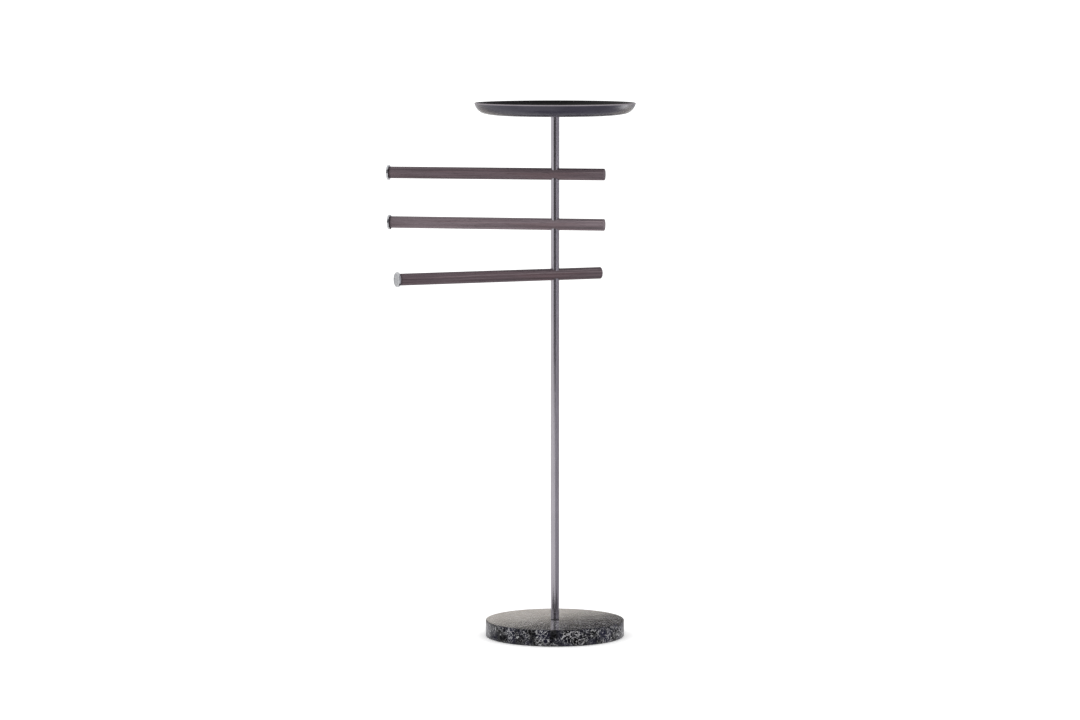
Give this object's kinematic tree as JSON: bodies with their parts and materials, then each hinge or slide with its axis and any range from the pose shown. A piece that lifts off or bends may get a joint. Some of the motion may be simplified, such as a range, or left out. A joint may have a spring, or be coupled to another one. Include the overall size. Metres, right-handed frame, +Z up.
{
  "type": "valet stand",
  "caption": "Free-standing valet stand: a round stone base and slim steel post carry swivelling round wooden bars with metal end discs for clothes, and a shallow round tray on top.",
  "frame": {"origin": "on the post axis, at the floor under the rubber pad", "axes": "+Z up along the post; at rest the bars' disc ends point roughly to -X, the lower one turned towards -Y"},
  "size_m": [0.4668, 0.3, 1],
  "materials": {
    "stone": "polished dark mottled granite",
    "pad_rubber": "matte",
    "post_steel": "polished, burnished dark",
    "bar_wood": "satin, dark brown open grain",
    "disc_metal": "hammered face, polished rim",
    "tray_lacquer": "satin",
    "black_nylon": "matte",
    "zinc_steel": "zinc plated",
    "screw_steel": "blackened"
  },
  "bodies": {
    "stand": {"base_disc": "stone", "base_pad": "pad_rubber", "base_plate": "zinc_steel", "base_bolt": "zinc_steel", "base_bolt_washer": "zinc_steel", "foot_washer": "black_nylon", "lower_post": "post_steel", "lower_post_foot_insert": "zinc_steel", "lower_post_top_insert": "zinc_steel", "lower_spacer_tube": "post_steel", "lower_spacer_tube_bottom_insert": "zinc_steel", "lower_spacer_tube_top_insert": "zinc_steel", "upper_spacer_tube": "post_steel", "upper_spacer_tube_bottom_insert": "zinc_steel", "upper_spacer_tube_top_insert": "zinc_steel", "top_post": "post_steel", "top_post_bottom_insert": "zinc_steel", "top_post_top_insert": "zinc_steel", "lower_pivot_stud": "zinc_steel", "lower_pivot_sleeve": "zinc_steel", "lower_spring_washer": "zinc_steel", "middle_pivot_stud": "zinc_steel", "middle_pivot_sleeve": "zinc_steel", "middle_spring_washer": "zinc_steel", "upper_pivot_stud": "zinc_steel", "upper_pivot_sleeve": "zinc_steel", "upper_spring_washer": "zinc_steel", "tray_flange": "post_steel", "tray_screw": "screw_steel", "tray": "tray_lacquer"},
    "lower_bar": {"lower_bar": "bar_wood", "lower_bar_end_disc": "disc_metal", "lower_bar_top_bush": "black_nylon", "lower_bar_bottom_bush": "black_nylon"},
    "middle_bar": {"middle_bar": "bar_wood", "middle_bar_end_disc": "disc_metal", "middle_bar_top_bush": "black_nylon", "middle_bar_bottom_bush": "black_nylon"},
    "upper_bar": {"upper_bar": "bar_wood", "upper_bar_end_disc": "disc_metal", "upper_bar_top_bush": "black_nylon", "upper_bar_bottom_bush": "black_nylon"}
  },
  "joints": [
    {"name": "lower_bar_swivel", "type": "hinge", "parent": "stand", "child": "lower_bar", "pos_m": [0, 0, 0.6805], "axis": [0, 0, 1], "continuous": true},
    {"name": "middle_bar_swivel", "type": "hinge", "parent": "stand", "child": "middle_bar", "pos_m": [0, 0, 0.774], "axis": [0, 0, 1], "continuous": true},
    {"name": "upper_bar_swivel", "type": "hinge", "parent": "stand", "child": "upper_bar", "pos_m": [0, 0, 0.8675], "axis": [0, 0, 1], "continuous": true}
  ]
}
